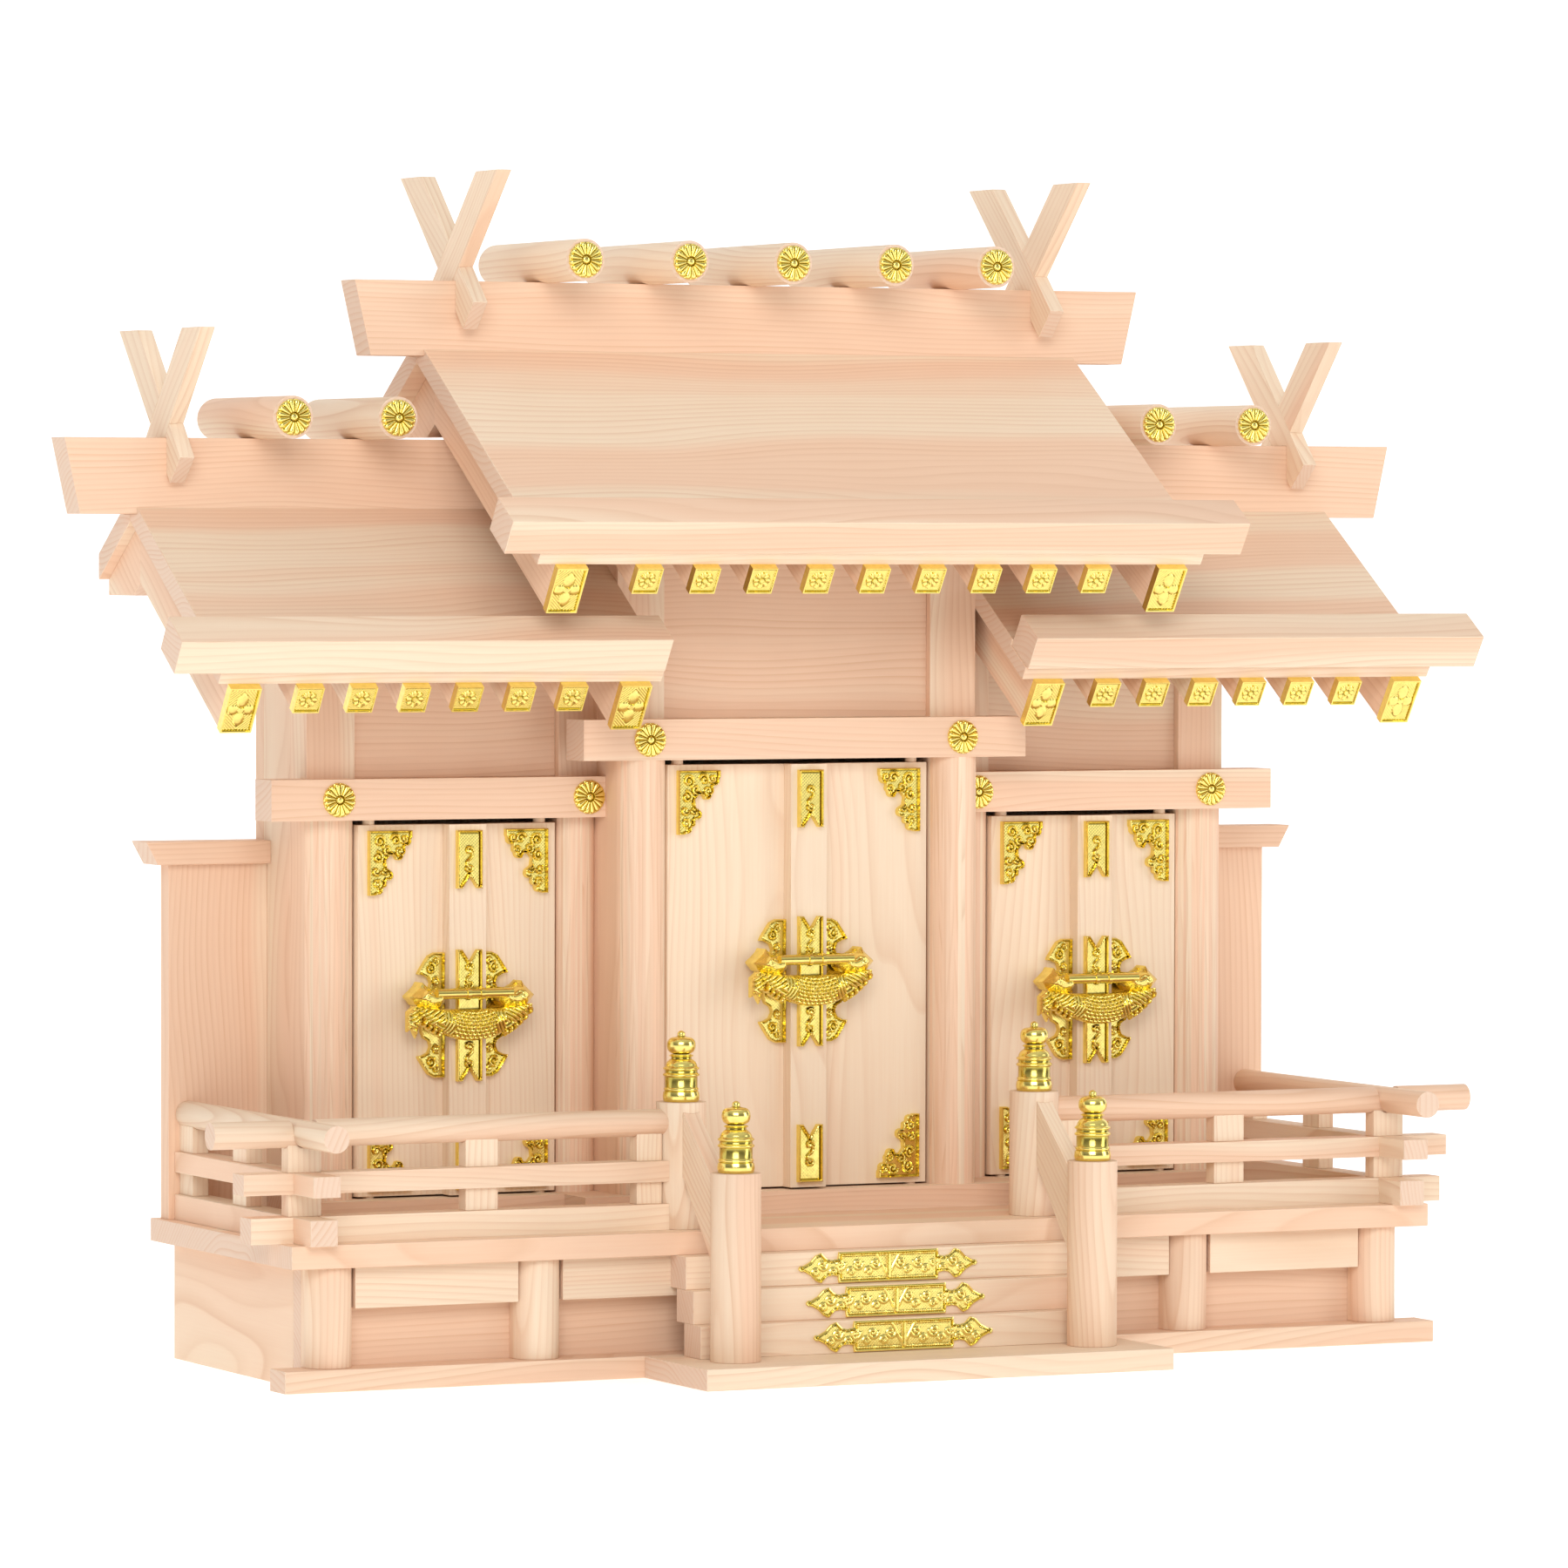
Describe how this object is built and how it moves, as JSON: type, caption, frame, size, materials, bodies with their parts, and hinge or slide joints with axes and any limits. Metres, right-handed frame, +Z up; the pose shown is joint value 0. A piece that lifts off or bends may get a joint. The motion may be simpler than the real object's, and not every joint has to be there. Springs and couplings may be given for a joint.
{
  "type": "kamidana",
  "caption": "Household wooden shrine with three door cells under staggered gabled roofs, on a railed deck with a short stair and gilt fittings.",
  "frame": {"origin": "middle of the bounding box at floor level", "axes": "+X to the viewer's right along the front, +Y to the back, +Z up"},
  "size_m": [0.6942, 0.2666, 0.551],
  "materials": {
    "wood_lengthwise": "planed, bare",
    "wood_upright": "planed, bare",
    "wood_crosswise": "planed, bare",
    "wood_roof": "planed, bare",
    "wood_slanted": "planed, bare",
    "wood_forks": "planed, bare",
    "wood_doors": "planed, bare",
    "gilt": "bright gold plating on moulded plastic"
  },
  "bodies": {
    "shrine": {"front_sill": "wood_lengthwise", "base_lower_panel": "wood_lengthwise", "base_back": "wood_lengthwise", "base_upper_boards": "wood_lengthwise", "deck_board": "wood_lengthwise", "landing_board": "wood_lengthwise", "stair_steps": "wood_lengthwise", "cell_floors": "wood_lengthwise", "cell_headers": "wood_lengthwise", "eave_bars": "wood_lengthwise", "ridge_boards": "wood_lengthwise", "front_rails": "wood_lengthwise", "wing_caps": "wood_lengthwise", "base_posts": "wood_upright", "stair_posts": "wood_upright", "centre_posts": "wood_upright", "side_posts": "wood_upright", "upper_panels": "wood_upright", "cell_side_walls": "wood_upright", "cell_backs": "wood_upright", "wing_panels": "wood_upright", "base_side_panels": "wood_crosswise", "side_rails": "wood_crosswise", "ridge_logs": "wood_crosswise", "railing_struts": "wood_crosswise", "roof_front_boards": "wood_roof", "roof_back_boards": "wood_roof", "roof_rafters": "wood_slanted", "end_rafters": "wood_slanted", "stair_handrails": "wood_slanted", "fork_front_boards": "wood_forks", "fork_back_boards": "wood_forks", "step_plates": "gilt", "post_finials": "gilt", "rafter_caps": "gilt", "log_discs": "gilt", "header_flowers": "gilt"},
    "centre_left_door": {"centre_leaf_left": "wood_doors", "centre_batten": "wood_doors", "centre_fittings_left": "gilt", "centre_lock": "gilt"},
    "centre_right_door": {"centre_leaf_right": "wood_doors", "centre_fittings_right": "gilt"},
    "left_left_door": {"left_leaf_left": "wood_doors", "left_batten": "wood_doors", "left_fittings_left": "gilt", "left_lock": "gilt"},
    "left_right_door": {"left_leaf_right": "wood_doors", "left_fittings_right": "gilt"},
    "right_left_door": {"right_leaf_left": "wood_doors", "right_batten": "wood_doors", "right_fittings_left": "gilt", "right_lock": "gilt"},
    "right_right_door": {"right_leaf_right": "wood_doors", "right_fittings_right": "gilt"}
  },
  "joints": [
    {"name": "centre_left_hinge", "type": "hinge", "parent": "shrine", "child": "centre_left_door", "pos_m": [-0.0609, 0.02323, 0.17], "axis": [0, 0, -1], "range_deg": [0, 88]},
    {"name": "centre_right_hinge", "type": "hinge", "parent": "shrine", "child": "centre_right_door", "pos_m": [0.0609, 0.02323, 0.17], "axis": [0, 0, 1], "range_deg": [0, 88]},
    {"name": "left_left_hinge", "type": "hinge", "parent": "shrine", "child": "left_left_door", "pos_m": [-0.2071, 0.04673, 0.17], "axis": [0, 0, -1], "range_deg": [0, 88]},
    {"name": "left_right_hinge", "type": "hinge", "parent": "shrine", "child": "left_right_door", "pos_m": [-0.1209, 0.04673, 0.17], "axis": [0, 0, 1], "range_deg": [0, 88]},
    {"name": "right_left_hinge", "type": "hinge", "parent": "shrine", "child": "right_left_door", "pos_m": [0.1209, 0.04673, 0.17], "axis": [0, 0, -1], "range_deg": [0, 88]},
    {"name": "right_right_hinge", "type": "hinge", "parent": "shrine", "child": "right_right_door", "pos_m": [0.2071, 0.04673, 0.17], "axis": [0, 0, 1], "range_deg": [0, 88]}
  ],
  "couplings": [
    {"joint": "centre_right_hinge", "follows": "centre_left_hinge", "ratio": 1},
    {"joint": "left_right_hinge", "follows": "left_left_hinge", "ratio": 1},
    {"joint": "right_right_hinge", "follows": "right_left_hinge", "ratio": 1}
  ]
}
